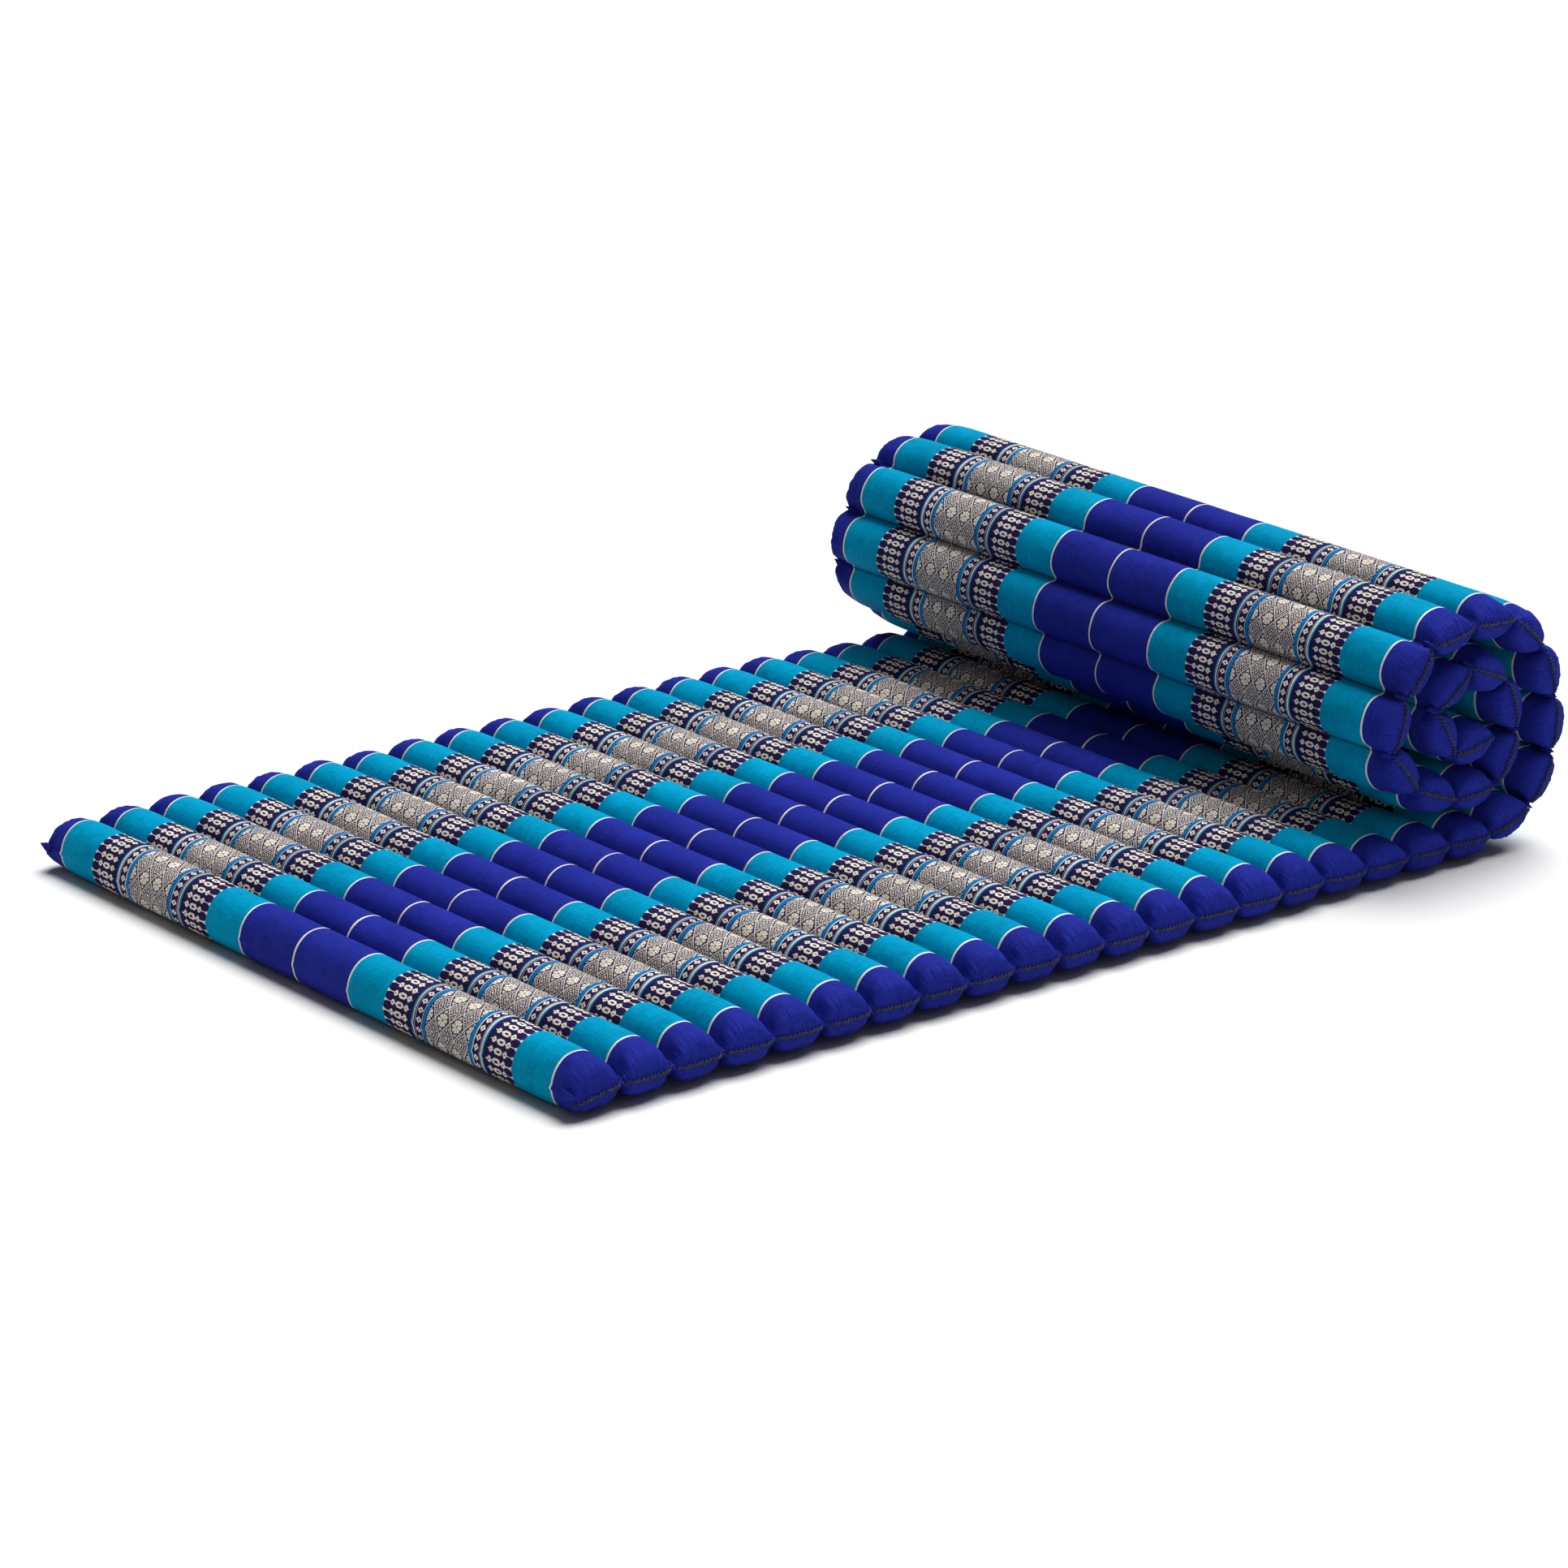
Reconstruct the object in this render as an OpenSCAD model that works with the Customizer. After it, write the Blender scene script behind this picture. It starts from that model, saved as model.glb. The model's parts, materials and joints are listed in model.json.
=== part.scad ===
// Quilted floor mattress, partly rolled up.
// X runs along the mattress towards the roll, Y across it and Z up from the floor.
// The origin is on the floor under the middle of channel 6.
// Channel k lies between seam k - 1 and seam k. Channels 1 to 10 are the front section.
// Every later channel hinges on the seam before it, and the last ones form the roll.

/* [Mattress] */
// Width across the mattress, mm
mat_width = 760; // [600:5:900]
// Unrolled length of all the channels, mm
mat_length = 2000; // [1900:10:2100]
// Height of the seams of the flat part above the floor, mm
seam_height = 22; // [20:0.5:24]

/* [Channels] */
// Height of a flat channel's crown above its seams, mm
crown_flat = 27; // [22:0.5:28]
// Height of the crown where the roll presses on it, mm
crown_pressed = 21; // [16:0.5:24]
// Height of a rolled channel on the inner side of the roll, mm
crown_rolled = 21.5; // [16:0.5:22]
// Height of a rolled channel on the outer side of the roll, mm
depth_rolled = 22; // [16:0.5:24]
// Radius with which a channel runs down to the long sides, mm
side_radius = 42; // [32:1:60]
// Thickness of the cover cloth, mm
cloth = 1.2; // [0.8:0.1:1.6]
// Clearance between the cloth and the kapok, mm
fill_gap = 0.4; // [0.3:0.1:1]

/* [Seams] */
// Radius of the gathered line of a seam, mm
seam_radius = 1.2; // [0.8:0.1:1.5]
// Clearance between a channel and the seam line of the next one, mm
seam_gap = 0.5; // [0.4:0.1:1]
// Steepest slope of a channel beside a seam, degrees
seam_slope = 74; // [60:1:78]
// Radius of the closing thread, mm
thread_radius = 0.8; // [0.4:0.1:1.2]
// Spacing of the closing stitches, mm
stitch_pitch = 10.5; // [8:0.5:16]
// Height of one closing stitch, mm
stitch_rise = 9; // [5:0.5:12]

/* [Roll] */
// Bend at each seam of the roll from the outside in, degrees
roll_bends = [19, 43, 28, 21, 28, 38, 14, 41, 24, 56, 28, 24, 61, 43, 49, 63, 78, 73]; // [0:90]

/* [Output] */
// Sub-part to draw

/* [Hidden] */
$fn = 64;
channels = 38;
front_channels = 10;
first_bend = 20;
pitch = mat_length / channels;
slope_margin = 1.5;
hinge_gap = seam_radius + seam_gap;
fill_inset = cloth + fill_gap;
seam_length = mat_width - 6;
front_length = front_channels * pitch;
front_stitches = floor(front_length / stitch_pitch);
origin_shift = 5.5 * pitch;
side_excess = 1;
side_blunt = 0.6;

cloth_colour = [0.16, 0.24, 0.62];
alternate_colour = [0.10, 0.48, 0.60];
kapok_colour = [0.90, 0.86, 0.74];
thread_colour = [0.05, 0.06, 0.20];

// Bend of the mattress at seam k, and slope left free for it on the inner side
function bend(k) = (k < first_bend || k >= channels) ? 0 : roll_bends[k - first_bend];
function inner_slope(k) = min(seam_slope, 90 - bend(k) / 2 - slope_margin);

// Direction of channel k, and the place of seam k
function heading(k) = k <= first_bend ? 0 : heading(k - 1) + bend(k - 1);
function seam_x(k) =
  k <= first_bend ? k * pitch - origin_shift : seam_x(k - 1) + pitch * cos(heading(k));
function seam_z(k) = k <= first_bend ? seam_height : seam_z(k - 1) + pitch * sin(heading(k));

// Height of channel k above its seams, height of its lower arc, and where the floor cuts it off
function crown(k) =
  k < first_bend - 3 ? crown_flat :
  k == first_bend - 3 ? (crown_flat + crown_pressed) / 2 :
  k <= first_bend ? crown_pressed : crown_rolled;
function belly(k) = k <= first_bend ? crown_flat : depth_rolled;
function floor_cut(k) = k <= first_bend ? seam_height : depth_rolled + 1;
function trailing_gap(k) =
  k < front_channels ? seam_radius / 2 :
  k < channels ? hinge_gap : 0;
function leading_slope(k) = k == 1 ? 89 : inner_slope(k - 1);
function lower_slope(k) = k == 1 ? 89 : seam_slope;

// Radius of the arc that rises by rise over one channel, and the reach of a side arc
function arc_radius(rise) = (pitch * pitch / 4 + rise * rise) / (2 * rise);
function side_reach(rise) = sqrt(2 * side_radius * rise - rise * rise);

// Place of seam k
module at_seam(k) {
  translate([seam_x(k), 0, seam_z(k)])
    rotate([0, -heading(k + 1), 0])
      children();
}

// Arc over the channel, from seam to seam
module arch(rise, inset) {
  intersection() {
    translate([pitch / 2, rise - arc_radius(rise)])
      circle(r = arc_radius(rise) - inset);
    translate([-pitch / 2, 0])
      square([2 * pitch, 2 * pitch]);
  }
}

// Room for the channel between the slopes beside its two seams
module wedge(k, inset) {
  rise = crown(k) + 0.5;
  fall = floor_cut(k) - inset;
  a = leading_slope(k);
  b = inner_slope(k);
  c = lower_slope(k);
  d = seam_slope;
  left = inset / sin(min(a, c));
  right = pitch - (inset + trailing_gap(k)) / sin(min(b, d));
  polygon([
    [left, 0],
    [left + rise / tan(a), rise],
    [right - rise / tan(b), rise],
    [right, 0],
    [right - fall / tan(d), -fall],
    [left + fall / tan(c), -fall]
  ]);
}

// Cross-section of channel k
module section(k, inset) {
  intersection() {
    union() {
      arch(crown(k), inset);
      mirror([0, 1]) arch(belly(k), inset);
    }
    wedge(k, inset);
  }
}

// Outline across the mattress, run down to the long sides on its upper edge only
module side_outline(rise, inset) {
  reach = mat_width / 2 + side_blunt - side_reach(rise);
  union() {
    translate([reach, rise - side_radius])
      circle(r = side_radius - inset);
    translate([-reach, rise - side_radius])
      circle(r = side_radius - inset);
    translate([-reach, rise - 2 * side_radius])
      square([2 * reach, 2 * side_radius - inset]);
  }
}

// Solid inside of channel k, set in from its surface
module channel_solid(k, inset) {
  intersection() {
    rotate([90, 0, 0])
      linear_extrude(height = mat_width + 20, center = true)
        section(k, inset);
    translate([-5, 0, 0])
      rotate([90, 0, 90])
        linear_extrude(height = pitch + 10)
          intersection() {
            side_outline(crown_flat + side_excess, inset);
            mirror([0, 1]) side_outline(seam_height + side_excess, inset);
            square([mat_width - 2 * inset, 2 * mat_width], center = true);
          }
  }
}

// Gathered line of cloth and thread along a seam
module seam_line() {
  rotate([90, 0, 0])
    cylinder(h = seam_length, r = seam_radius, center = true);
}

// Cloth tube of channel k
module tube(k) {
  difference() {
    channel_solid(k, 0);
    channel_solid(k, cloth);
  }
}

// Cover of a hinged channel
module cover(k) {
  color(k % 2 == 0 ? cloth_colour : alternate_colour)
    at_seam(k - 1)
      union() {
        tube(k);
        seam_line();
      }
}

// Kapok inside a hinged channel
module kapok(k) {
  color(kapok_colour)
    at_seam(k - 1)
      channel_solid(k, fill_inset);
}

// Cover of the front section, with a gathered line at each of its inner seams
module cover_front() {
  color(cloth_colour)
    union() {
      for (k = [1 : front_channels])
        at_seam(k - 1) tube(k);
      for (k = [1 : front_channels - 1])
        at_seam(k) seam_line();
    }
}

// Kapok inside the channels of the front section
module kapok_front() {
  color(kapok_colour)
    for (k = [1 : front_channels])
      at_seam(k - 1) channel_solid(k, fill_inset);
}

// Slanted stitches that close the near long side of the front section
module closing_thread_front() {
  color(thread_colour)
    for (i = [1 : front_stitches - 1])
      translate([seam_x(0) + i * stitch_pitch, -mat_width / 2 - thread_radius - 0.2, seam_height])
        rotate([0, 35, 0])
          cylinder(h = stitch_rise, r = thread_radius, center = true);
}

module cover_11() {
  cover(11);
}

module kapok_11() {
  kapok(11);
}

module cover_12() {
  cover(12);
}

module kapok_12() {
  kapok(12);
}

module cover_13() {
  cover(13);
}

module kapok_13() {
  kapok(13);
}

module cover_14() {
  cover(14);
}

module kapok_14() {
  kapok(14);
}

module cover_15() {
  cover(15);
}

module kapok_15() {
  kapok(15);
}

module cover_16() {
  cover(16);
}

module kapok_16() {
  kapok(16);
}

module cover_17() {
  cover(17);
}

module kapok_17() {
  kapok(17);
}

module cover_18() {
  cover(18);
}

module kapok_18() {
  kapok(18);
}

module cover_19() {
  cover(19);
}

module kapok_19() {
  kapok(19);
}

module cover_20() {
  cover(20);
}

module kapok_20() {
  kapok(20);
}

module cover_21() {
  cover(21);
}

module kapok_21() {
  kapok(21);
}

module cover_22() {
  cover(22);
}

module kapok_22() {
  kapok(22);
}

module cover_23() {
  cover(23);
}

module kapok_23() {
  kapok(23);
}

module cover_24() {
  cover(24);
}

module kapok_24() {
  kapok(24);
}

module cover_25() {
  cover(25);
}

module kapok_25() {
  kapok(25);
}

module cover_26() {
  cover(26);
}

module kapok_26() {
  kapok(26);
}

module cover_27() {
  cover(27);
}

module kapok_27() {
  kapok(27);
}

module cover_28() {
  cover(28);
}

module kapok_28() {
  kapok(28);
}

module cover_29() {
  cover(29);
}

module kapok_29() {
  kapok(29);
}

module cover_30() {
  cover(30);
}

module kapok_30() {
  kapok(30);
}

module cover_31() {
  cover(31);
}

module kapok_31() {
  kapok(31);
}

module cover_32() {
  cover(32);
}

module kapok_32() {
  kapok(32);
}

module cover_33() {
  cover(33);
}

module kapok_33() {
  kapok(33);
}

module cover_34() {
  cover(34);
}

module kapok_34() {
  kapok(34);
}

module cover_35() {
  cover(35);
}

module kapok_35() {
  kapok(35);
}

module cover_36() {
  cover(36);
}

module kapok_36() {
  kapok(36);
}

module cover_37() {
  cover(37);
}

module kapok_37() {
  kapok(37);
}

module cover_38() {
  cover(38);
}

module kapok_38() {
  kapok(38);
}

cover_front();
kapok_front();
closing_thread_front();
cover_11();
kapok_11();
cover_12();
kapok_12();
cover_13();
kapok_13();
cover_14();
kapok_14();
cover_15();
kapok_15();
cover_16();
kapok_16();
cover_17();
kapok_17();
cover_18();
kapok_18();
cover_19();
kapok_19();
cover_20();
kapok_20();
cover_21();
kapok_21();
cover_22();
kapok_22();
cover_23();
kapok_23();
cover_24();
kapok_24();
cover_25();
kapok_25();
cover_26();
kapok_26();
cover_27();
kapok_27();
cover_28();
kapok_28();
cover_29();
kapok_29();
cover_30();
kapok_30();
cover_31();
kapok_31();
cover_32();
kapok_32();
cover_33();
kapok_33();
cover_34();
kapok_34();
cover_35();
kapok_35();
cover_36();
kapok_36();
cover_37();
kapok_37();
cover_38();
kapok_38();
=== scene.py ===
"""Quilted roll-up mattress in striped cotton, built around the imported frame, in metres."""
import json
import math
import bmesh
import bpy
import numpy as np
from mathutils import Matrix, Vector


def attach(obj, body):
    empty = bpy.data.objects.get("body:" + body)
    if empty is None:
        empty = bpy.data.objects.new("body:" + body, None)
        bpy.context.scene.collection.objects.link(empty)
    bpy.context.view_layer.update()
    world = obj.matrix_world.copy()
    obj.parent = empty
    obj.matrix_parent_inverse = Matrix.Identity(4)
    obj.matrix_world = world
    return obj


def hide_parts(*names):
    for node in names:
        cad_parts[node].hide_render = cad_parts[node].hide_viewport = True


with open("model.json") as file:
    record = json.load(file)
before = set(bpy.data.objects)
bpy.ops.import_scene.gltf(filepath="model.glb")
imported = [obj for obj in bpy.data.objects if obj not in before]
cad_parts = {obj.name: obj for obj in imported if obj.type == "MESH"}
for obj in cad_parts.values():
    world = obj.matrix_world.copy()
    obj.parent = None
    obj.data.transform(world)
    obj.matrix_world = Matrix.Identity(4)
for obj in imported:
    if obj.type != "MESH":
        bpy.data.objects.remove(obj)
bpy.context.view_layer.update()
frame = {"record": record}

MM = 0.001
CHANNELS = 38
FRONT_CHANNELS = 10
FIRST_BEND = 20
PITCH = 2.0 / CHANNELS
HALF_WIDTH = 0.76 / 2

# Slopes beside the seams, in degrees
SEAM_SLOPE = 74.0
SLOPE_MARGIN = 1.5
FREE_SLOPE = 86.0
FREE_LIMIT = 87.0

# Heights of a channel above and below its seams
CROWN_FLAT = 27.2 * MM
CROWN_BETWEEN = 24.5 * MM
CROWN_PRESSED = 21.5 * MM
CROWN_ROLLED = 21.8 * MM
DEPTH_FLAT = 27.0 * MM
DEPTH_ROLLED = 22.3 * MM
DEPTH_AT_FLOOR = 22.3 * MM
UNCUT = 1.0

# How far the gathered cloth may swell: over the crown, past the free end, and below the seams
CROWN_SWELL = 0.6 * MM
FREE_SWELL = 4 * MM
FLOOR_LIMIT = 21.9 * MM
ROLLED_LIMIT = 22.6 * MM

# Grid of a channel, and its ends on the two long sides
COLUMNS = 24
END_ROWS = 15
MIDDLE_ROWS = 84
END_LENGTH = 0.041
NOTCH = 0.0085
CORNER_DROOP = 0.009
CLOTH_LENGTH = 0.0783
END_CLOTH_START = 0.354

# Stitches: closing stitches of one channel and their distance from its seams, stitches of a quilting seam
CLOSING_STITCHES = 12
SEAM_CLEARANCE = 2.6 * MM
QUILTING_STITCHES = 150
CLOSING_RADIUS = 0.70 * MM
QUILTING_RADIUS = 0.30 * MM
KNOT_RADIUS = 0.50 * MM

# Channel templates of the cloth simulation
TEMPLATES = 8
TEMPLATE_CHANNEL = 5
TEMPLATE_STEP = PITCH * 1.5
SIMULATED_FRAMES = 16

# Camera: angles in degrees, lens in millimetres, target measured from the free end
CAMERA_AZIMUTH = -40.475
CAMERA_ELEVATION = 18.696
CAMERA_ROLL = 1.178
CAMERA_DISTANCE = 5.4197
CAMERA_LENS = 134.03
TARGET_ALONG = 0.67556
TARGET_ACROSS = 0.1629

# Light: strengths, and the spread of the two suns in degrees
WORLD_STRENGTH = 0.11
KEY_STRENGTH = 5.0
KEY_SPREAD = 50
FILL_STRENGTH = 0.75
FILL_SPREAD = 60
LIT_POINT = (0.25, 0.0, 0.0)
FLOOR_REACH = 14.0
FLOOR_DROP = 0.2 * MM
FLOOR_COLOUR = (0.76, 0.76, 0.76, 1.0)


def record_bends(record):
    """Bend at each seam, in degrees, from the joints of the roll and their couplings."""
    joints = record["behaviour"]["joints"]
    bends = {}
    master = 0.0
    for joint in joints:
        if joint["name"] == "unroll":
            master = -joint["range_deg"][0]
            bends[FIRST_BEND] = master
    for pair in record["behaviour"]["couplings"]:
        bends[int(pair["joint"].split("_")[1])] = master * pair["ratio"]
    return bends


def seam_places(record, bends):
    """(x, z) of every seam and the heading of every channel, in metres and radians."""
    known = {}
    for number, joint in enumerate(record["behaviour"]["joints"]):
        known[FRONT_CHANNELS + number] = (joint["pos_m"][0], joint["pos_m"][2])
    places = {}
    for seam in range(0, FRONT_CHANNELS):
        first = known[FRONT_CHANNELS]
        places[seam] = (first[0] - (FRONT_CHANNELS - seam) * PITCH, first[1])
    places.update(known)
    headings = {}
    heading = 0.0
    for channel in range(1, CHANNELS + 1):
        heading += math.radians(bends.get(channel - 1, 0.0))
        headings[channel] = heading
    return places, headings


def body_name(channel):
    return "front_section" if channel <= FRONT_CHANNELS else f"channel_{channel}"


def crown(channel):
    """Height of a channel's crown above its seams."""
    if channel < FIRST_BEND - 3:
        return CROWN_FLAT
    if channel == FIRST_BEND - 3:
        return CROWN_BETWEEN
    if channel <= FIRST_BEND:
        return CROWN_PRESSED
    return CROWN_ROLLED


def inner_slope(bends, seam):
    return min(SEAM_SLOPE, 90.0 - bends.get(seam, 0.0) / 2 - SLOPE_MARGIN)


def blend_low(*heights):
    """Smallest of several heights, with the corners between them rounded."""
    power = 7.0
    total = sum(np.maximum(h, 1e-7) ** -power for h in heights)
    return total ** (-1.0 / power)


def half_profile(rise, left_slope, right_slope, floor_cut):
    """Points and arc length of one cloth from seam to seam, evenly spaced along the cloth."""
    x = np.linspace(0.0, PITCH, 801)
    t = 2 * x / PITCH - 1
    dome = rise * np.maximum(1 - np.abs(t) ** 2.2, 0) ** (1 / 1.9)
    left = np.tan(np.radians(left_slope)) * x
    right = np.tan(np.radians(right_slope)) * (PITCH - x)
    z = blend_low(dome, left, right, np.full_like(x, floor_cut))
    z[0] = 0.0
    z[-1] = 0.0
    step = np.hypot(np.diff(x), np.diff(z))
    along = np.concatenate([[0.0], np.cumsum(step)])
    even = np.linspace(0.0, along[-1], COLUMNS + 1)
    return np.interp(even, along, x), np.interp(even, along, z), even


def channel_profile(channel, bends):
    """Upper and lower outline of one channel, each from its first seam to its second."""
    left = FREE_SLOPE if channel == 1 else inner_slope(bends, channel - 1)
    below = FREE_SLOPE if channel == 1 else SEAM_SLOPE
    top = half_profile(crown(channel), left, inner_slope(bends, channel), UNCUT)
    if channel <= FIRST_BEND:
        bottom = half_profile(DEPTH_FLAT, below, SEAM_SLOPE, DEPTH_AT_FLOOR)
    else:
        bottom = half_profile(DEPTH_ROLLED, below, SEAM_SLOPE, UNCUT)
    return top, bottom


def end_shape(share):
    """Reach and height of the rounded end, at a share from 0 at its start to 1 at the closing seam."""
    angle = share * math.pi / 2
    reach = np.sin(angle) ** 0.66 + 0.045 * np.sin(share * math.pi)
    height = np.maximum(np.cos(angle), 0.0) ** 0.72
    return reach, height


def row_shares():
    """For each row along a channel: place in the straight part, -1 to 1, and signed share of the end."""
    ends = np.linspace(0.0, 1.0, END_ROWS + 1)[1:]
    middle = np.linspace(-1.0, 1.0, MIDDLE_ROWS + 1)
    rows = [(-1.0, -s) for s in ends[::-1]]
    rows += [(m, 0.0) for m in middle]
    rows += [(1.0, s) for s in ends]
    return rows


def channel_points(profile, rng, corner_droop=0.0):
    """Rows x ring x 3 points of a channel in its own frame."""
    (tx, tz, _), (bx, bz, _) = profile
    ring_x = np.concatenate([tx, bx[::-1][1:-1]])
    ring_z = np.concatenate([tz, -bz[::-1][1:-1]])
    even = np.linspace(0, PITCH, COLUMNS + 1)
    ring_even = np.concatenate([even, even[::-1][1:-1]])
    rows = row_shares()
    straight = HALF_WIDTH - END_LENGTH
    wave = rng.uniform(0, 2 * math.pi, 4)
    plump = 1 + 0.012 * rng.standard_normal()
    points = np.zeros((len(rows), len(ring_x), 3))
    for r, (middle, end) in enumerate(rows):
        side = -1.0 if (end < 0 or middle < 0) else 1.0
        share = abs(end)
        reach, height = end_shape(share)
        x = ring_x + (ring_even - ring_x) * share ** 3
        t = 2 * x / PITCH - 1
        length = END_LENGTH - NOTCH * np.abs(t) ** 5 - 0.0012 * t * math.sin(wave[0])
        y = middle * straight + side * reach * length
        swell = 1 + 0.010 * math.sin(9 * middle + wave[1]) + 0.008 * math.sin(21 * middle + wave[2])
        points[r, :, 0] = x
        points[r, :, 1] = y
        points[r, :, 2] = ring_z * height * min(swell * plump, 1.012)
        points[r, :, 2] -= corner_droop * share ** 2 * (0.5 - t / 2) ** 2
    return points


def cloth_lengths(points):
    """Distance along the cloth across the mattress, equal to y in the straight part."""
    y = points[:, :, 1]
    step = np.linalg.norm(np.diff(points, axis=0), axis=2)
    along = np.concatenate([np.zeros((1, step.shape[1])), np.cumsum(step, axis=0)])
    middle = points.shape[0] // 2
    along = along - along[middle]
    out = y.copy()
    for column in range(y.shape[1]):
        for sign in (-1, 1):
            past = sign * y[:, column] > END_CLOTH_START
            if past.any():
                rows = np.where(past)[0]
                start = rows[0] if sign > 0 else rows[-1]
                out[rows, column] = y[start, column] + along[rows, column] - along[start, column]
    return out


def grid_faces(rows, ring):
    """Quads of a tube of rows x ring points."""
    faces = []
    for r in range(rows - 1):
        for c in range(ring):
            d = (c + 1) % ring
            faces.append((r * ring + c, (r + 1) * ring + c, (r + 1) * ring + d, r * ring + d))
    return faces


def point_normals(points):
    """Outward normals of a tube grid."""
    around = np.roll(points, -1, axis=1) - np.roll(points, 1, axis=1)
    along = np.gradient(points, axis=0)
    normal = np.cross(along, around)
    size = np.linalg.norm(normal, axis=2, keepdims=True)
    return normal / np.maximum(size, 1e-12)


def smooth(obj):
    for polygon in obj.data.polygons:
        polygon.use_smooth = True


def new_object(name, vertices, faces):
    mesh = bpy.data.meshes.new(name)
    mesh.from_pydata([tuple(v) for v in vertices], [], faces)
    mesh.update()
    obj = bpy.data.objects.new(name, mesh)
    bpy.context.scene.collection.objects.link(obj)
    return obj


def weld(obj):
    """Joins the two rows of points that meet in a closing line, and turns all faces outwards."""
    work = bmesh.new()
    work.from_mesh(obj.data)
    bmesh.ops.remove_doubles(work, verts=work.verts, dist=0.02 * MM)
    bmesh.ops.dissolve_degenerate(work, edges=work.edges, dist=0.001 * MM)
    bmesh.ops.recalc_face_normals(work, faces=work.faces)
    work.to_mesh(obj.data)
    work.free()
    smooth(obj)


def fold_seed(points, rng):
    """Shallow folds that run away from the closing seams, as a start for the gathers."""
    x = points[:, :, 0] / PITCH
    y = points[:, :, 1]
    out = np.zeros(x.shape)
    for side in (-1, 1):
        near = np.clip((side * y - (HALF_WIDTH - 0.034)) / 0.030, 0, 1) ** 1.4
        waves = np.zeros(x.shape)
        for _ in range(5):
            turns = rng.uniform(2.5, 9.0)
            waves += np.sin(2 * math.pi * turns * x + rng.uniform(0, 2 * math.pi)) / 5
        out += near * waves
    return out * np.sin(np.clip(x, 0, 1) * math.pi) ** 0.3


def gather_bases(rng):
    """Points and seed folds of the channel templates."""
    profile = channel_profile(TEMPLATE_CHANNEL, {})
    bases = []
    seeds = []
    for _ in range(TEMPLATES):
        points = channel_points(profile, rng)
        bases.append(points)
        seeds.append(fold_seed(points, rng))
    return bases, seeds


def template_object(bases, seeds):
    """One mesh that holds all the templates side by side, with their seed folds started."""
    rows, ring = bases[0].shape[:2]
    quads = grid_faces(rows, ring)
    vertices = []
    faces = []
    for number, (points, seed) in enumerate(zip(bases, seeds)):
        moved = points + point_normals(points) * (seed * 0.5 * MM)[:, :, None]
        moved = moved + np.array([number * TEMPLATE_STEP, 0, 0])
        vertices.append(moved.reshape(-1, 3))
        faces += [tuple(i + number * rows * ring for i in quad) for quad in quads]
    return new_object("gather_templates", np.concatenate(vertices), faces)


def add_groups(obj, bases):
    """Pins the seams and the closing lines, and gives the cloth beside the closing lines its slack."""
    pinned = obj.vertex_groups.new(name="pinned")
    slack = obj.vertex_groups.new(name="slack")
    rows, ring = bases[0].shape[:2]
    for number, points in enumerate(bases):
        for r in range(rows):
            for c in range(ring):
                index = (number * rows + r) * ring + c
                if c in (0, COLUMNS) or r in (0, rows - 1):
                    pinned.add([index], 1.0, "REPLACE")
                past = abs(points[r, c, 1]) - (HALF_WIDTH - 0.040)
                loose = min(max(past / 0.030, 0.0), 1.0)
                slack.add([index], 0.06 + 0.94 * loose, "REPLACE")


def set_cloth(cloth):
    """Light, supple cotton under a slight pressure from the kapok, without gravity."""
    cloth.quality = 6
    cloth.mass = 0.12
    cloth.tension_stiffness = 12
    cloth.compression_stiffness = 12
    cloth.shear_stiffness = 4
    cloth.bending_stiffness = 0.02
    cloth.tension_damping = 8
    cloth.compression_damping = 8
    cloth.shear_damping = 6
    cloth.air_damping = 2
    cloth.use_pressure = True
    cloth.uniform_pressure_force = 3.0
    cloth.vertex_group_mass = "pinned"
    cloth.vertex_group_shrink = "slack"
    cloth.shrink_min = 0.0
    cloth.shrink_max = -0.16
    cloth.effector_weights.gravity = 0


def simulated_points(obj):
    """Places of the object's points after the cloth simulation."""
    modifier = obj.modifiers.new("Cloth", "CLOTH")
    set_cloth(modifier.settings)
    modifier.collision_settings.use_collision = False
    modifier.point_cache.frame_start = 1
    modifier.point_cache.frame_end = SIMULATED_FRAMES
    for number in range(1, SIMULATED_FRAMES + 1):
        bpy.context.scene.frame_set(number)
    graph = bpy.context.evaluated_depsgraph_get()
    result = obj.evaluated_get(graph).to_mesh()
    places = np.zeros(len(result.vertices) * 3)
    result.vertices.foreach_get("co", places)
    return places.reshape(-1, 3)


def gathers():
    """Swell and gathers of the channel templates, as distances along their normals."""
    bases, seeds = gather_bases(np.random.default_rng(7))
    obj = template_object(bases, seeds)
    add_groups(obj, bases)
    places = simulated_points(obj)
    bpy.data.objects.remove(obj, do_unlink=True)
    bpy.context.scene.frame_set(1)
    found = []
    for number, (points, part) in enumerate(zip(bases, np.split(places, TEMPLATES))):
        part = part.reshape(points.shape) - np.array([number * TEMPLATE_STEP, 0, 0])
        found.append(((part - points) * point_normals(points)).sum(axis=2))
    return found


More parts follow.
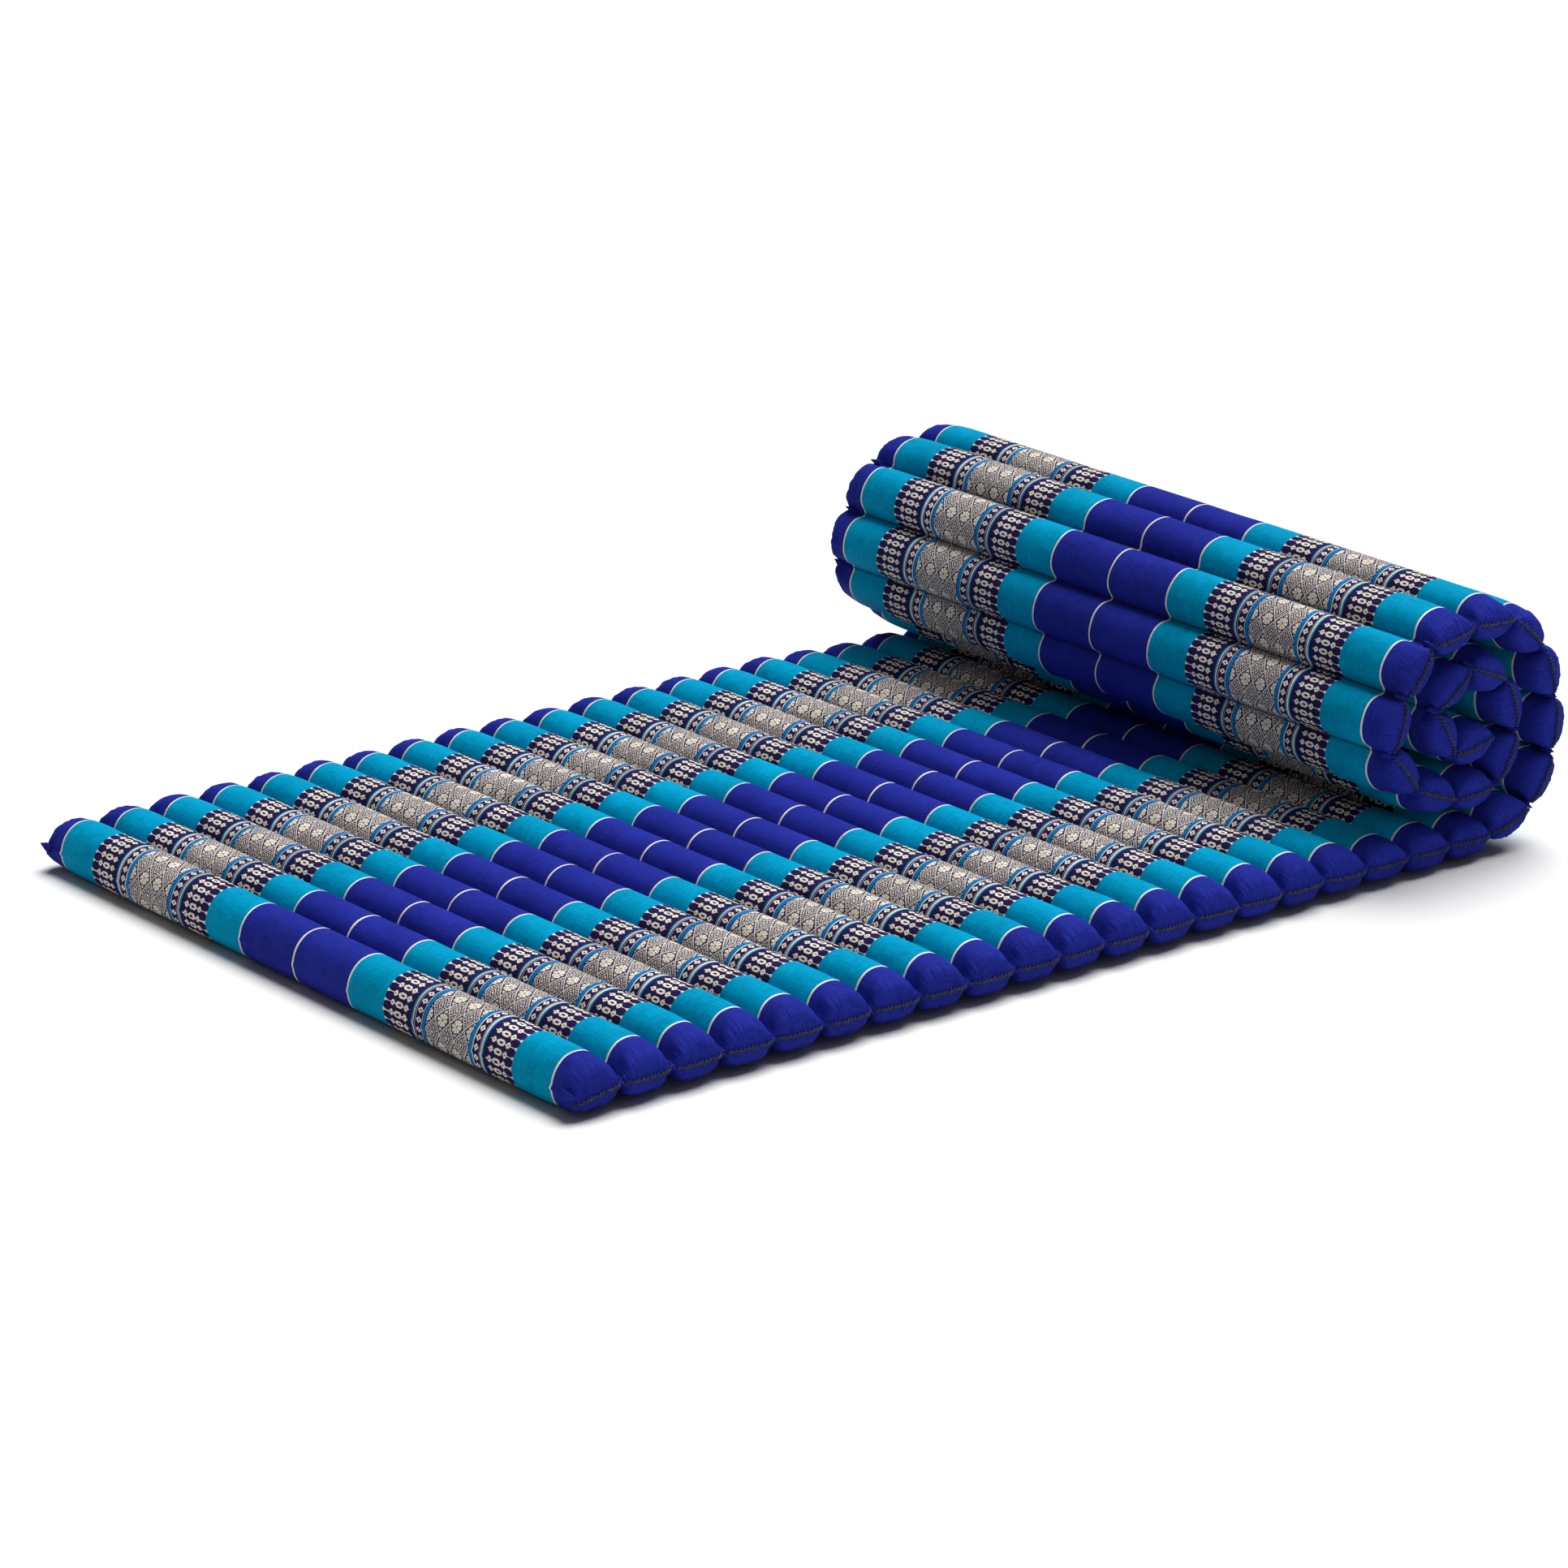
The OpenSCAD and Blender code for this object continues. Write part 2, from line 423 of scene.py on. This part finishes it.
def keep_in_room(points, channel, bends):
    """Holds a channel between the planes beside its seams, above the floor, and inside its height."""
    flat = channel <= FIRST_BEND
    left = FREE_LIMIT if channel == 1 else inner_slope(bends, channel - 1)
    right = inner_slope(bends, channel)
    below = FREE_LIMIT if channel == 1 else SEAM_SLOPE
    x = points[:, :, 0]
    z = points[:, :, 2]
    x = np.clip(x, 0.0 if channel > 1 else -FREE_SWELL, PITCH)
    up = np.minimum(np.tan(np.radians(left)) * x, np.tan(np.radians(right)) * (PITCH - x))
    down = np.minimum(np.tan(np.radians(below)) * x, np.tan(np.radians(SEAM_SLOPE)) * (PITCH - x))
    up = np.maximum(np.minimum(up, crown(channel) + CROWN_SWELL), 0)
    down = np.maximum(np.minimum(down, FLOOR_LIMIT if flat else ROLLED_LIMIT), 0)
    out = points.copy()
    out[:, :, 0] = x
    out[:, :, 2] = np.clip(z, -down, up)
    return out


def to_place(points, place, heading):
    """Points of a channel's own frame, moved to where the channel lies."""
    cos_h = math.cos(heading)
    sin_h = math.sin(heading)
    x = place[0] + points[..., 0] * cos_h - points[..., 2] * sin_h
    z = place[1] + points[..., 0] * sin_h + points[..., 2] * cos_h
    return np.stack([x, points[..., 1], z], axis=-1)


def channel_shape(channel, bends, swells):
    """Finished points of a channel in its own frame."""
    rng = np.random.default_rng(100 + channel)
    droop = CORNER_DROOP if channel == 1 else 0.0
    points = channel_points(channel_profile(channel, bends), rng, droop)
    swell = swells[int(rng.integers(len(swells)))]
    if rng.random() < 0.5:
        swell = swell[::-1]
    size = 0.85 + 0.3 * rng.random()
    near_end = np.clip((np.abs(points[:, :, 1]) - HALF_WIDTH + 0.050) / 0.042, 0, 1)
    limit = (0.8 + 2.4 * near_end ** 1.5) * MM
    folds = fold_seed(points, rng) * 0.9 * MM
    swell = np.clip(swell * size + folds, -limit, limit)
    points = points + point_normals(points) * swell[:, :, None]
    return keep_in_room(points, channel, bends)


def add_cloth_map(obj, points, ring_u, channel, shape):
    """UV map named cloth: metres along the mattress and across it, one panel above and one below."""
    rows, ring = shape
    across = cloth_lengths(points)
    layer = obj.data.uv_layers.new(name="cloth")
    top_u, bottom_u = ring_u
    start = (channel - 1) * CLOTH_LENGTH
    values = np.zeros((len(obj.data.loops), 2))
    cursor = 0
    for r in range(rows - 1):
        for c in range(ring):
            d = (c + 1) % ring
            if c < COLUMNS:
                here = top_u[c]
                there = top_u[c + 1]
            else:
                here = bottom_u[ring - c]
                there = bottom_u[ring - c - 1]
            values[cursor] = (start + here, across[r, c])
            values[cursor + 1] = (start + here, across[r + 1, c])
            values[cursor + 2] = (start + there, across[r + 1, d])
            values[cursor + 3] = (start + there, across[r, d])
            cursor += 4
    layer.data.foreach_set("uv", values.ravel())


def build_channel(channel, bends, places, headings, swells, material):
    """Adds the cloth tube of one channel, closed on both long sides, and returns its points."""
    points = channel_shape(channel, bends, swells)
    rows, ring = points.shape[:2]
    world = to_place(points, places[channel - 1], headings[channel])
    obj = new_object(f"channel_cover_{channel:02d}", world.reshape(-1, 3), grid_faces(rows, ring))
    profile = channel_profile(channel, bends)
    add_cloth_map(obj, points, (profile[0][2], profile[1][2]), channel, (rows, ring))
    weld(obj)
    obj.data.materials.append(material)
    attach(obj, body_name(channel))
    if channel > FRONT_CHANNELS:
        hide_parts(f"cover_{channel}", f"kapok_{channel}")
    else:
        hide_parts("cover_front", "kapok_front")
    return points


class Field:
    """A number that varies over the cloth, written as shader nodes."""

    def __init__(self, tree, socket):
        self.tree = tree
        self.socket = socket

    def node(self, operation, *others):
        node = self.tree.nodes.new("ShaderNodeMath")
        node.operation = operation
        self.tree.links.new(self.socket, node.inputs[0])
        for slot, other in enumerate(others, start=1):
            if isinstance(other, Field):
                self.tree.links.new(other.socket, node.inputs[slot])
            else:
                node.inputs[slot].default_value = other
        return Field(self.tree, node.outputs[0])

    def __add__(self, other):
        return self.node("ADD", other)

    def __sub__(self, other):
        return self.node("SUBTRACT", other)

    def __mul__(self, other):
        return self.node("MULTIPLY", other)

    def __lt__(self, other):
        return self.node("LESS_THAN", other)

    def __gt__(self, other):
        return self.node("GREATER_THAN", other)

    def size(self):
        return self.node("ABSOLUTE")

    def both(self, other):
        return self.node("MULTIPLY", other)

    def either(self, other):
        return self.node("MAXIMUM", other)

    def least(self, other):
        return self.node("MINIMUM", other)

    def most(self, other):
        return self.node("MAXIMUM", other)

    def wave(self, period):
        """Distance to the nearest multiple of period."""
        return self.node("PINGPONG", period / 2)

    def between(self, low, high):
        return (self > low).both(self < high)

    def without(self, other):
        """This mask with the other one cut out of it."""
        node = self.tree.nodes.new("ShaderNodeMath")
        node.operation = "SUBTRACT"
        node.inputs[0].default_value = 1.0
        self.tree.links.new(other.socket, node.inputs[1])
        return self.both(Field(self.tree, node.outputs[0]))


# Sizes of the woven pattern, in millimetres of cloth. They are the steps of the figures, the yarn of the
# plain weave, the teal stripe and the rows of a band, all from the middle outwards, and the repeats.
THREAD = 0.6
YARN = 0.62
TEAL_START = 77.5
TEAL_STOP = 350.0
BAND_MIDDLE = 213.5
BAND_HALF = 86.5
LATTICE_HALF = 28.8
BORDER_HALF = 48.5
MOTIF_PITCH = 8.4
LATTICE_ROUND = 25.2
LATTICE_ACROSS = 19.2
LATTICE_DEPTH = 15.0


def figure_mask(u, w):
    """Cream figures of the outer rows: a flower, a long hexagon, a second flower and a tail."""
    c = u.wave(MOTIF_PITCH)
    d = (w - (BORDER_HALF + 17.5)).size()
    hexagon = (c < 2.7).both(d < 4.8).both((c + d * 0.62) < 4.2)
    hexagon = hexagon.without((c < 0.65).both(d < 2.2))
    e = (d - 9.2).size()
    flower = ((c + e) < 3.2).either(c.most(e) < 1.9).either((c < 0.4).both(e < 4.4))
    flower = flower.without((c + e) < 0.9)
    tail = (c < 0.55).both(w > BORDER_HALF + 28.5)
    foot = (w > BORDER_HALF + 35.0).both((c - (w - (BORDER_HALF + 35.0)) * 0.4) < 0.5)
    return hexagon.either(flower).either(tail).either(foot)


def border_masks(u, w):
    """Masks of the border rows: cream threads, bright blue stripe, grey threads and teal thread."""
    c = (u + MOTIF_PITCH / 2).wave(MOTIF_PITCH)
    d = (w - 38.6).size()
    cream = ((c + d * 0.9) < 3.1).without((c + d) < 1.1)
    for low, high in ((33.7, 34.5), (45.1, 46.6)):
        cream = cream.either(w.between(low, high))
    blue = w.between(29.4, 33.0)
    grey = w.between(42.9, 44.0)
    teal = w.between(46.9, 48.5)
    return cream, blue, grey, teal


def lattice_mask(u, s):
    """Cream threads of the middle: dotted diagonal lattice with rosettes and nested diamonds."""
    a = u * (1 / LATTICE_ROUND) + s * (1 / LATTICE_ACROSS)
    b = u * (1 / LATTICE_ROUND) - s * (1 / LATTICE_ACROSS)
    ra = a - a.node("ROUND")
    rb = b - b.node("ROUND")
    edge = (ra.size().most(rb.size()) - 0.5) * -LATTICE_DEPTH
    along = ra.size().least(rb.size()) * LATTICE_DEPTH
    du = (ra + rb) * (LATTICE_ROUND / 2)
    ds = (ra - rb) * (LATTICE_ACROSS / 2)
    kind = (a.node("ROUND") + b.node("ROUND")).wave(2.0) > 0.5
    line = edge < 0.45
    dots = edge.between(1.0, 1.9).both(along.wave(2.4) > 0.6)
    radius = (du * du + ds * ds).node("SQRT")
    turn = (ds.node("ARCTAN2", du) * 8.0).node("COSINE")
    petals = (edge > 1.9).both(turn > -0.78)
    petals = petals.without(radius < 0.8).without((radius - 6.4).size() < 0.4)
    rim = edge.between(2.5, 3.1)
    nested = edge.between(4.5, 5.3).either(edge > 6.5)
    rosette = line.either(petals)
    dotted = line.either(dots).either(rim).either(nested)
    return rosette.both(kind).either(dotted.without(kind))


def mix_colour(tree, factor, under, over):
    node = tree.nodes.new("ShaderNodeMix")
    node.data_type = "RGBA"
    tree.links.new(factor.socket, node.inputs["Factor"])
    for value, name in ((under, 6), (over, 7)):
        if isinstance(value, tuple):
            node.inputs[name].default_value = value
        else:
            tree.links.new(value, node.inputs[name])
    return node.outputs[2]


def noise(tree, vector, scale, detail=2.0, stretch=(1.0, 1.0, 1.0)):
    mapping = tree.nodes.new("ShaderNodeMapping")
    mapping.inputs["Scale"].default_value = stretch
    tree.links.new(vector, mapping.inputs["Vector"])
    node = tree.nodes.new("ShaderNodeTexNoise")
    node.inputs["Scale"].default_value = scale
    node.inputs["Detail"].default_value = detail
    tree.links.new(mapping.outputs[0], node.inputs["Vector"])
    return Field(tree, node.outputs["Fac"])


BLUE = (0.014, 0.021, 0.225, 1.0)
TEAL = (0.0, 0.235, 0.410, 1.0)
CREAM = (0.68, 0.63, 0.51, 1.0)
GROUND = (0.016, 0.011, 0.062, 1.0)
PALE_GROUND = (0.028, 0.021, 0.080, 1.0)
BRIGHT = (0.002, 0.155, 0.440, 1.0)
GREY = (0.22, 0.20, 0.30, 1.0)


def bump(tree, height, strength, distance, normal=None):
    node = tree.nodes.new("ShaderNodeBump")
    node.inputs["Strength"].default_value = strength
    node.inputs["Distance"].default_value = distance
    tree.links.new(height.socket, node.inputs["Height"])
    if normal is not None:
        tree.links.new(normal, node.inputs["Normal"])
    return node.outputs[0]


def new_material(name):
    """A node material, its tree and its shader."""
    material = bpy.data.materials.new(name)
    material.use_nodes = True
    return material, material.node_tree, material.node_tree.nodes["Principled BSDF"]


def band_colours(tree, u, y):
    """Colour of a woven band, and the mask of its cream threads."""
    s = y - BAND_MIDDLE
    w = s.size()
    inner = w < LATTICE_HALF - 0.2
    cream, blue, grey, teal = border_masks(u, w)
    border = w.between(LATTICE_HALF, BORDER_HALF)
    figures = figure_mask(u, w).both(w > BORDER_HALF)
    cream = cream.both(border).either(figures).either(lattice_mask(u, s).both(inner))
    colour = mix_colour(tree, inner, GROUND, PALE_GROUND)
    for mask, over in ((blue, BRIGHT), (grey, GREY), (teal, TEAL), (cream, CREAM)):
        colour = mix_colour(tree, mask, colour, over)
    return colour, cream


def cloth_colours(tree, coords, u, v):
    """Colour of the cloth, and the mask of the cream threads that stand out of the bands."""
    wobble = noise(tree, coords, 22.0, 1.0)
    y = v.size() + (wobble - 0.5) * 1.6
    across = y.node("SNAP", THREAD)
    colour = mix_colour(tree, y.between(TEAL_START, TEAL_STOP), BLUE, TEAL)
    lines = (y < 1.0).either((y - TEAL_START).size() < 0.95).either((y - TEAL_STOP).size() < 1.0)
    colour = mix_colour(tree, lines, colour, CREAM)
    band = (across - BAND_MIDDLE).size() < BAND_HALF
    pattern, cream = band_colours(tree, u.node("SNAP", THREAD), across)
    return mix_colour(tree, band, colour, pattern), cream.both(band)


def cloth_normal(tree, coords, v, weave):
    """Fine weave over soft creases over the gathers beside the closing lines."""
    near_end = ((v.size() - 362.0) * (1 / 16.0)).least(1.0).most(0.0)
    puckers = noise(tree, coords, 230.0, 1.5, (1.0, 0.16, 1.0))
    gathered = bump(tree, puckers * near_end, 1.0, 3.0 * MM)
    creases = noise(tree, coords, 55.0, 3.0, (1.0, 0.55, 1.0))
    soft = bump(tree, creases, 0.5, 2.2 * MM, gathered)
    return bump(tree, weave, 0.55, 0.18 * MM, soft)


def cloth_material():
    """Woven cotton with blue and teal stripes, cream lines and two figured bands."""
    material, tree, shader = new_material("figured_cotton")
    cloth_map = tree.nodes.new("ShaderNodeUVMap")
    cloth_map.uv_map = "cloth"
    coords = cloth_map.outputs[0]
    parts = tree.nodes.new("ShaderNodeSeparateXYZ")
    tree.links.new(coords, parts.inputs[0])
    u = Field(tree, parts.outputs[0]) * 1000.0
    v = Field(tree, parts.outputs[1]) * 1000.0
    colour, raised = cloth_colours(tree, coords, u, v)
    streaks = noise(tree, coords, 60.0, 3.0, (1.0, 14.0, 1.0)) - 0.5
    slubs = noise(tree, coords, 60.0, 3.0, (16.0, 1.0, 1.0)) - 0.5
    mottle = noise(tree, coords, 14.0, 3.0) - 0.5
    fleck = noise(tree, coords, 900.0, 2.0) - 0.5
    tone = streaks * 1.00 + slubs * 0.80 + mottle * 0.60 + fleck * 0.60 + 1.0
    shade = tree.nodes.new("ShaderNodeVectorMath")
    shade.operation = "SCALE"
    tree.links.new(colour, shade.inputs[0])
    tree.links.new(tone.socket, shade.inputs["Scale"])
    for name in ("Base Color", "Sheen Tint", "Specular Tint"):
        tree.links.new(shade.outputs[0], shader.inputs[name])
    warp = (u * (2 * math.pi / YARN)).node("SINE")
    weft = (v * (2 * math.pi / YARN)).node("SINE")
    weave = warp.both(weft) * 0.5 + raised * 0.7 + streaks * 1.2 + fleck * 1.0
    tree.links.new(cloth_normal(tree, coords, v, weave), shader.inputs["Normal"])
    rough = fleck * 0.2 + streaks * 0.15 + 0.62
    tree.links.new(rough.socket, shader.inputs["Roughness"])
    shader.inputs["Specular IOR Level"].default_value = 0.02
    shader.inputs["Sheen Weight"].default_value = 0.08
    shader.inputs["Sheen Roughness"].default_value = 0.40
    return material


def thread_material(name, colour, pale):
    """Twisted sewing thread, with paler fibres here and there."""
    material, tree, shader = new_material(name)
    coords = tree.nodes.new("ShaderNodeTexCoord")
    twist = noise(tree, coords.outputs["Object"], 1400.0, 2.0, (1.0, 0.4, 1.0))
    fuzz = noise(tree, coords.outputs["Object"], 300.0, 3.0)
    factor = ((twist - 0.42) * 2.2 + (fuzz - 0.5) * 0.8).least(1.0).most(0.0)
    mixed = mix_colour(tree, factor, colour, pale)
    tree.links.new(mixed, shader.inputs["Base Color"])
    tree.links.new(bump(tree, twist, 0.6, 0.2 * MM), shader.inputs["Normal"])
    shader.inputs["Roughness"].default_value = 0.80
    shader.inputs["Specular IOR Level"].default_value = 0.10
    return material


def thread_vertices(path, radius, sides):
    """Rings of points round one path, thinner at its ends."""
    tangent = np.gradient(path, axis=0)
    tangent /= np.maximum(np.linalg.norm(tangent, axis=1, keepdims=True), 1e-12)
    guide = np.array([0.0, 1.0, 0.0]) if abs(tangent[0, 1]) < 0.8 else np.array([1.0, 0.0, 0.0])
    side = np.cross(tangent, guide)
    side /= np.maximum(np.linalg.norm(side, axis=1, keepdims=True), 1e-12)
    up = np.cross(side, tangent)
    vertices = []
    for i in range(len(path)):
        r = radius * (0.45 if i in (0, len(path) - 1) else 1.0)
        for k in range(sides):
            a = 2 * math.pi * k / sides
            vertices.append(path[i] + r * (math.cos(a) * side[i] + math.sin(a) * up[i]))
    return vertices


def sweep(paths, radius, sides):
    """Vertices and faces of round threads along the paths."""
    vertices = []
    faces = []
    for path in paths:
        path = np.asarray(path, float)
        base = len(vertices)
        last = base + (len(path) - 1) * sides
        vertices += thread_vertices(path, radius, sides)
        for row in range(base, last, sides):
            for k in range(sides):
                n = (k + 1) % sides
                faces.append((row + k, row + n, row + sides + n, row + sides + k))
        faces.append(tuple(base + k for k in range(sides))[::-1])
        faces.append(tuple(last + k for k in range(sides)))
    return vertices, faces


def add_threads(name, paths, radius, material, body, place, heading, sides):
    """One piece made of round threads, given in a channel's own frame."""
    vertices, faces = sweep(paths, radius, sides)
    world = to_place(np.array(vertices), place, heading)
    obj = new_object(name, world, faces)
    smooth(obj)
    obj.data.materials.append(material)
    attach(obj, body)
    return obj


def along_line(line, x):
    """Point of a line at a place along X."""
    return np.array([
        x,
        np.interp(x, line[:, 0], line[:, 1]),
        np.interp(x, line[:, 0], line[:, 2]),
    ])


def closing_stitch_paths(points, rng):
    """Slanted overcast stitches with a running thread between them, along the near long side."""
    line = points[0, :COLUMNS + 1]
    start = SEAM_CLEARANCE
    stop = PITCH - SEAM_CLEARANCE
    paths = []
    for i in range(CLOSING_STITCHES):
        x = start + (stop - start) * (i + 0.5 + rng.uniform(-0.15, 0.15)) / CLOSING_STITCHES
        lean = 0.0017 + rng.uniform(-0.0003, 0.0003)
        tall = 0.0024 + rng.uniform(-0.0004, 0.0004)
        path = []
        for t in np.linspace(-1, 1, 7):
            proud = 0.0012 * math.cos(t * 1.45) + 0.0012
            path.append(along_line(line, x + lean * t) + np.array([0, -proud, tall * t]))
        paths.append(path)
    run = []
    for x in np.linspace(start, stop, 40):
        turns = CLOSING_STITCHES * (x - start) / (stop - start)
        sway = 0.0007 * math.sin(2 * math.pi * turns)
        run.append(along_line(line, x) + np.array([0, -0.0018, sway]))
    paths.append(run)
    return paths


def knot_paths(place_y, rng):
    """Loops of thread wound round the end of a quilting seam."""
    paths = []
    for _ in range(4):
        turn = rng.uniform(0, math.pi)
        tilt = rng.uniform(-0.5, 0.5)
        size = rng.uniform(0.0016, 0.0024)
        x = rng.uniform(-0.0006, 0.0006)
        y = place_y + rng.uniform(-0.0014, 0.0014)
        z = rng.uniform(-0.0005, 0.0005)
        path = []
        for t in np.linspace(0, 2 * math.pi * 0.95, 12):
            round_x = math.cos(t) * size
            sway = 0.0006 * math.sin(2 * t + turn)
            path.append([x + round_x, y + sway + tilt * round_x, z + math.sin(t) * size])
        paths.append(path)
    return paths


def quilting_paths():
    """Machine stitches of one quilting seam, on the top cloth and on the bottom cloth."""
    paths = []
    reach = HALF_WIDTH - NOTCH - 0.006
    step = 2 * reach / QUILTING_STITCHES
    for face in (-1, 1):
        for i in range(QUILTING_STITCHES):
            y = -reach + (i + 0.5) * step
            path = []
            for t in (-1, -0.4, 0.4, 1):
                path.append([0, y + t * step * 0.42, face * (0.0011 - 0.0003 * abs(t))])
            paths.append(path)
    return paths


def ear_shape(side, rng):
    """Corner of folded cloth that stands out where a quilting seam ends."""
    rings = 9
    sides = 14
    vertices = []
    faces = []
    length = rng.uniform(0.0125, 0.0160)
    lean = rng.uniform(-0.0014, 0.0014)
    droop = rng.uniform(-0.0016, 0.0016)
    start = HALF_WIDTH - NOTCH - 0.0055
    for i in range(rings):
        t = i / (rings - 1)
        wide = 0.0038 * (1 - t) ** 0.7 * (1 + 0.25 * math.sin(5 * t)) + 0.0006
        for k in range(sides):
            a = 2 * math.pi * k / sides
            fold = 1 + 0.16 * math.sin(4 * a + 3 * t)
            x = wide * fold * math.cos(a) * 0.62 + lean * t * t
            z = wide * fold * math.sin(a) + droop * t * t
            vertices.append((x, side * (start + length * t), z))
    for i in range(rings - 1):
        for k in range(sides):
            n = (k + 1) % sides
            faces.append((i * sides + k, i * sides + n, (i + 1) * sides + n, (i + 1) * sides + k))
    faces.append(tuple(range(sides))[::-1])
    faces.append(tuple((rings - 1) * sides + k for k in range(sides)))
    return vertices, faces


def add_ear(name, side, rng, material, body, place, heading):
    """Ear of folded cloth at one end of a quilting seam."""
    vertices, faces = ear_shape(side, rng)
    obj = new_object(name, to_place(np.array(vertices), place, heading), faces)
    layer = obj.data.uv_layers.new(name="cloth")
    for loop in obj.data.loops:
        x, y, z = vertices[loop.vertex_index]
        layer.data[loop.index].uv = (x + z, y + 0.03 * side)
    smooth(obj)
    obj.data.materials.append(material)
    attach(obj, body)


def build_seam(seam, places, headings, cloth, navy):
    """Thread and cloth details on the seam that a channel starts from."""
    channel = seam + 1
    rng = np.random.default_rng(500 + seam)
    place = places[seam]
    heading = headings[channel]
    body = body_name(channel)
    if seam > 0:
        heading = (headings[seam] + headings[channel]) / 2
        stitches = quilting_paths()
        knots = knot_paths(-(HALF_WIDTH - NOTCH) - 0.0016, rng)
        add_threads(f"quilting_thread_{seam:02d}", stitches, QUILTING_RADIUS, navy, body, place, heading, 4)
        add_threads(f"seam_knot_{seam:02d}", knots, KNOT_RADIUS, navy, body, place, heading, 5)
    for side, name in ((-1, "near"), (1, "far")):
        add_ear(f"seam_ear_{name}_{seam:02d}", side, rng, cloth, body, place, heading)


def add_sun(name, location, strength, spread):
    """Soft sun that shines from a place towards the mattress."""
    data = bpy.data.lights.new(name, "SUN")
    data.energy = strength
    data.angle = math.radians(spread)
    obj = bpy.data.objects.new(name, data)
    obj.location = location
    direction = Vector(LIT_POINT) - Vector(location)
    obj.rotation_euler = direction.to_track_quat("-Z", "Y").to_euler()
    bpy.context.scene.collection.objects.link(obj)
    return obj


def build_camera(front_x):
    """Long-lens camera above the free corner, a little rolled."""
    azimuth = math.radians(CAMERA_AZIMUTH)
    elevation = math.radians(CAMERA_ELEVATION)
    roll = math.radians(CAMERA_ROLL)
    target = Vector((front_x + TARGET_ALONG, TARGET_ACROSS, 0.0))
    back = Vector((
        math.sin(azimuth) * math.cos(elevation),
        -math.cos(azimuth) * math.cos(elevation),
        math.sin(elevation),
    ))
    right = Vector((math.cos(azimuth), math.sin(azimuth), 0.0))
    up = back.cross(right)
    axis_x = right * math.cos(roll) + up * math.sin(roll)
    axis_y = up * math.cos(roll) - right * math.sin(roll)
    data = bpy.data.cameras.new("camera")
    data.sensor_width = 36.0
    data.lens = CAMERA_LENS
    data.clip_end = 60.0
    camera = bpy.data.objects.new("camera", data)
    bpy.context.scene.collection.objects.link(camera)
    matrix = Matrix.Identity(4)
    for row in range(3):
        matrix[row][0] = axis_x[row]
        matrix[row][1] = axis_y[row]
        matrix[row][2] = back[row]
        matrix[row][3] = (target + back * CAMERA_DISTANCE)[row]
    camera.matrix_world = matrix
    bpy.context.scene.camera = camera


def build_floor():
    """Plain pale floor just under the mattress."""
    mesh = bpy.data.meshes.new("floor")
    corners = []
    for x, y in ((-1, -1), (1, -1), (1, 1), (-1, 1)):
        corners.append((x * FLOOR_REACH, y * FLOOR_REACH, -FLOOR_DROP))
    mesh.from_pydata(corners, [], [(0, 1, 2, 3)])
    floor = bpy.data.objects.new("floor", mesh)
    bpy.context.scene.collection.objects.link(floor)
    material, _, shader = new_material("pale_floor")
    shader.inputs["Base Color"].default_value = FLOOR_COLOUR
    shader.inputs["Roughness"].default_value = 0.9
    shader.inputs["Specular IOR Level"].default_value = 0.1
    mesh.materials.append(material)
    return floor


def build_lights(floor):
    """White surroundings, a soft key from above and behind, and a fill that leaves out the floor."""
    world = bpy.data.worlds.new("white_world")
    bpy.context.scene.world = world
    world.use_nodes = True
    background = world.node_tree.nodes["Background"]
    background.inputs["Color"].default_value = (1.0, 1.0, 1.0, 1.0)
    background.inputs["Strength"].default_value = WORLD_STRENGTH
    add_sun("key", (1.40, 0.40, 2.7), KEY_STRENGTH, KEY_SPREAD)
    fill = add_sun("fill", (-1.0, -2.8, 1.7), FILL_STRENGTH, FILL_SPREAD)
    unfilled = bpy.data.collections.new("without_fill_light")
    unfilled.objects.link(floor)
    unfilled.collection_objects[0].light_linking.link_state = "EXCLUDE"
    fill.light_linking.receiver_collection = unfilled
    bpy.context.scene.view_settings.view_transform = "Standard"


def main():
    record = frame["record"]
    bends = record_bends(record)
    places, headings = seam_places(record, bends)
    build_camera(places[0][0])
    build_lights(build_floor())
    cloth = cloth_material()
    navy = thread_material("navy_thread", (0.014, 0.017, 0.055, 1.0), (0.075, 0.085, 0.150, 1.0))
    swells = gathers()
    for channel in range(1, CHANNELS + 1):
        points = build_channel(channel, bends, places, headings, swells, cloth)
        paths = closing_stitch_paths(points, np.random.default_rng(900 + channel))
        stitches = add_threads(
            f"closing_stitches_{channel:02d}", paths, CLOSING_RADIUS, navy,
            body_name(channel), places[channel - 1], headings[channel], 5,
        )
        if channel <= FRONT_CHANNELS:
            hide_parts("closing_thread_front")
        build_seam(channel - 1, places, headings, cloth, navy)


main()
